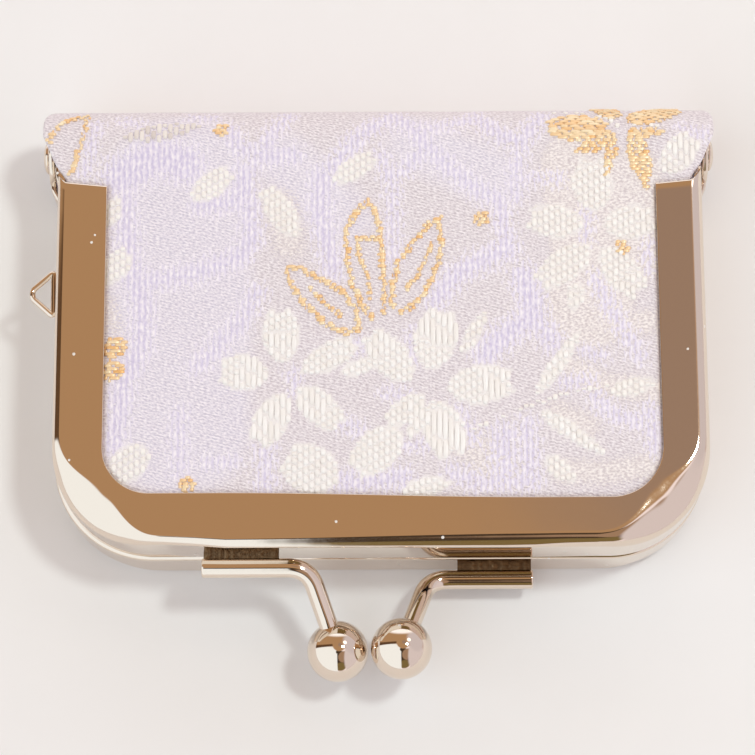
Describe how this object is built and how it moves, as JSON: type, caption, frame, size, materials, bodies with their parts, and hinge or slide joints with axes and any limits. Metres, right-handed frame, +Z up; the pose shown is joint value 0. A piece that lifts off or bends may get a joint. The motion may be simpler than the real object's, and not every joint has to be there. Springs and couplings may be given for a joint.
{
  "type": "clasp purse",
  "caption": "Small clasp purse: a hinged metal frame with a ball clasp, floral brocade in its windows and over the hinge side, and a wire strap loop.",
  "frame": {"origin": "under the middle of the whole purse, on the surface it lies on", "axes": "+X along the hinge axis, to the right seen from the front window; +Y from the clasp to the hinge side; +Z up through the front window"},
  "size_m": [0.0684, 0.0574, 0.013],
  "materials": {
    "nickel_plate": "bright nickel plate on pressed steel",
    "brocade": "pale lilac silk brocade with white and gold figured threads"
  },
  "bodies": {
    "back_half": {"back_frame": "nickel_plate", "back_clasp": "nickel_plate", "back_cloth": "brocade", "left_rivet": "nickel_plate", "right_rivet": "nickel_plate", "spine_cloth": "brocade"},
    "front_half": {"front_frame": "nickel_plate", "front_clasp": "nickel_plate", "strap_loop": "nickel_plate", "front_cloth": "brocade"}
  },
  "joints": [
    {"name": "frame_hinge", "type": "hinge", "parent": "back_half", "child": "front_half", "pos_m": [0.0004, 0.02446, 0.0065], "axis": [-1, 0, 0], "range_deg": [0, 95], "deforming": ["spine_cloth"]}
  ]
}
